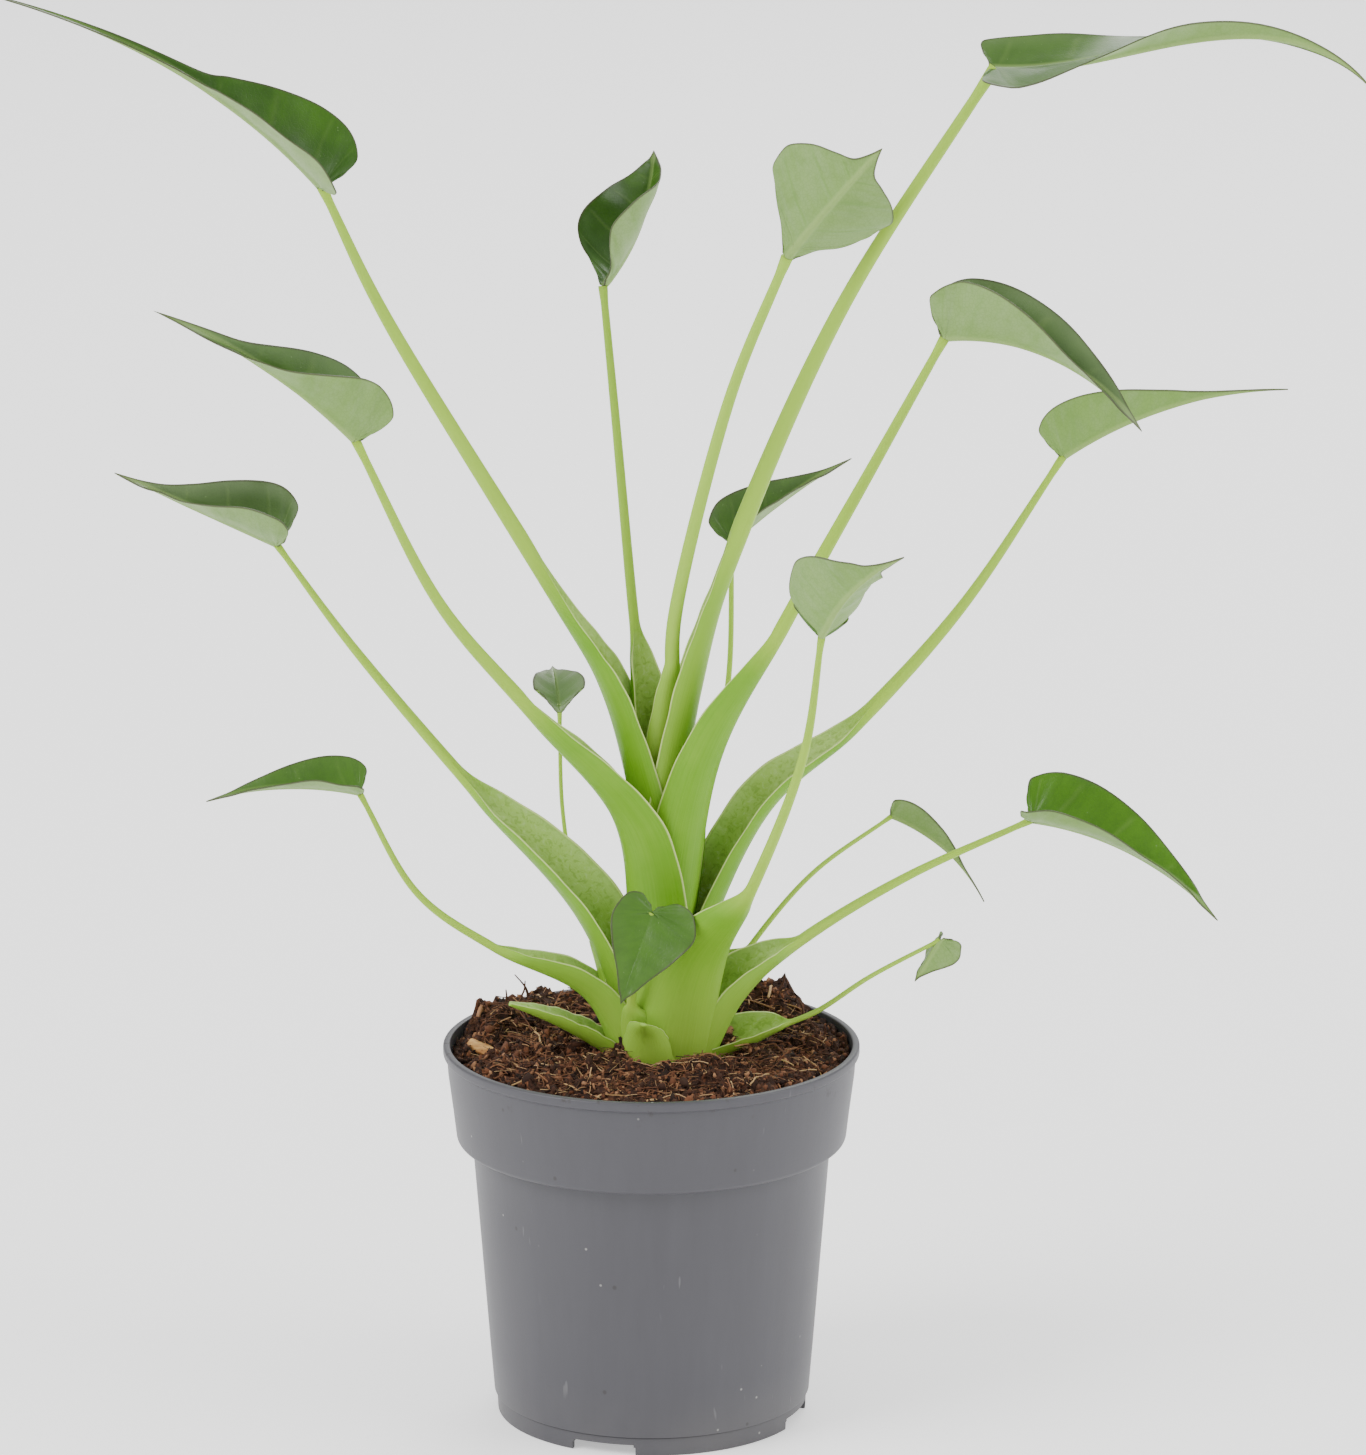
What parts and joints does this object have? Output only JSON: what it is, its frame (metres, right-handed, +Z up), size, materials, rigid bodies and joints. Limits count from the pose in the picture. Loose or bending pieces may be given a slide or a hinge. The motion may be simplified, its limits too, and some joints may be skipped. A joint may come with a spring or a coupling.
{
  "type": "potted houseplant",
  "caption": "Potted alocasia: cupped, drip-tipped leaves on long sheathed stalks around a short stem, in dark peat in a grey nursery pot.",
  "frame": {"origin": "middle of the plant's footprint, on the ground under the pot", "axes": "+Z up; the picture looks along +Y, so -Y is the front and +X is its right"},
  "size_m": [0.3882, 0.1684, 0.4176],
  "materials": {
    "pot_plastic": "thin grey injection-moulded plastic, satin, lightly scuffed",
    "peat": "dark brown fibrous peat with straw-coloured fibres",
    "stem": "smooth pale green stem",
    "stalk": "smooth yellow-green stalks with thin whitish sheath margins",
    "leaf": "glossy dark green above, pale grey-green beneath",
    "bract": "smooth pale green with thin whitish margins"
  },
  "bodies": {
    "root": {"pot": "pot_plastic", "soil": "peat", "stem": "stem", "leaf_01_stalk": "stalk", "leaf_01_blade": "leaf", "leaf_02_stalk": "stalk", "leaf_02_blade": "leaf", "leaf_03_stalk": "stalk", "leaf_03_blade": "leaf", "leaf_04_stalk": "stalk", "leaf_04_blade": "leaf", "leaf_05_stalk": "stalk", "leaf_05_blade": "leaf", "leaf_06_stalk": "stalk", "leaf_06_blade": "leaf", "leaf_07_stalk": "stalk", "leaf_07_blade": "leaf", "leaf_08_stalk": "stalk", "leaf_08_blade": "leaf", "leaf_09_stalk": "stalk", "leaf_09_blade": "leaf", "leaf_10_stalk": "stalk", "leaf_10_blade": "leaf", "leaf_11_stalk": "stalk", "leaf_11_blade": "leaf", "leaf_12_stalk": "stalk", "leaf_12_blade": "leaf", "leaf_13_stalk": "stalk", "leaf_13_blade": "leaf", "leaf_14_stalk": "stalk", "leaf_14_blade": "leaf", "leaf_15_stalk": "stalk", "leaf_15_blade": "leaf", "leaf_16_stalk": "stalk", "leaf_16_blade": "leaf", "bract_front": "bract", "bract_left": "bract", "bract_back": "bract"}
  },
  "joints": []
}
